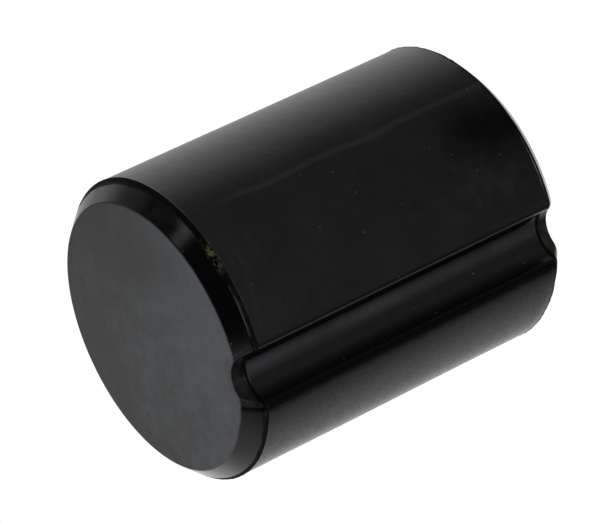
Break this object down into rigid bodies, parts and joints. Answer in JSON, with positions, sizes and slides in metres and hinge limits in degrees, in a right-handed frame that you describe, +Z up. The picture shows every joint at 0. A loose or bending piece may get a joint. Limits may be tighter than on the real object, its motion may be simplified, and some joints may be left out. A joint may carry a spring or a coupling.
{
  "type": "string vibration dampener",
  "caption": "Solid black rubber plug, round with bevelled ends and one string groove along its side, wedged between two racket strings to damp their ringing.",
  "frame": {"origin": "halfway along the floor of the string groove, where a string holds the plug", "axes": "+X out of the string groove; +Y along the plug's axis and the string, from the front face to the back face; +Z up, with the plug lying on its side"},
  "size_m": [0.0125, 0.016, 0.0126],
  "materials": {
    "rubber": "black moulded rubber, half glossy on the round side and bevels, matte on the end faces"
  },
  "bodies": {
    "root": {"dampener_body": "rubber"}
  },
  "joints": []
}
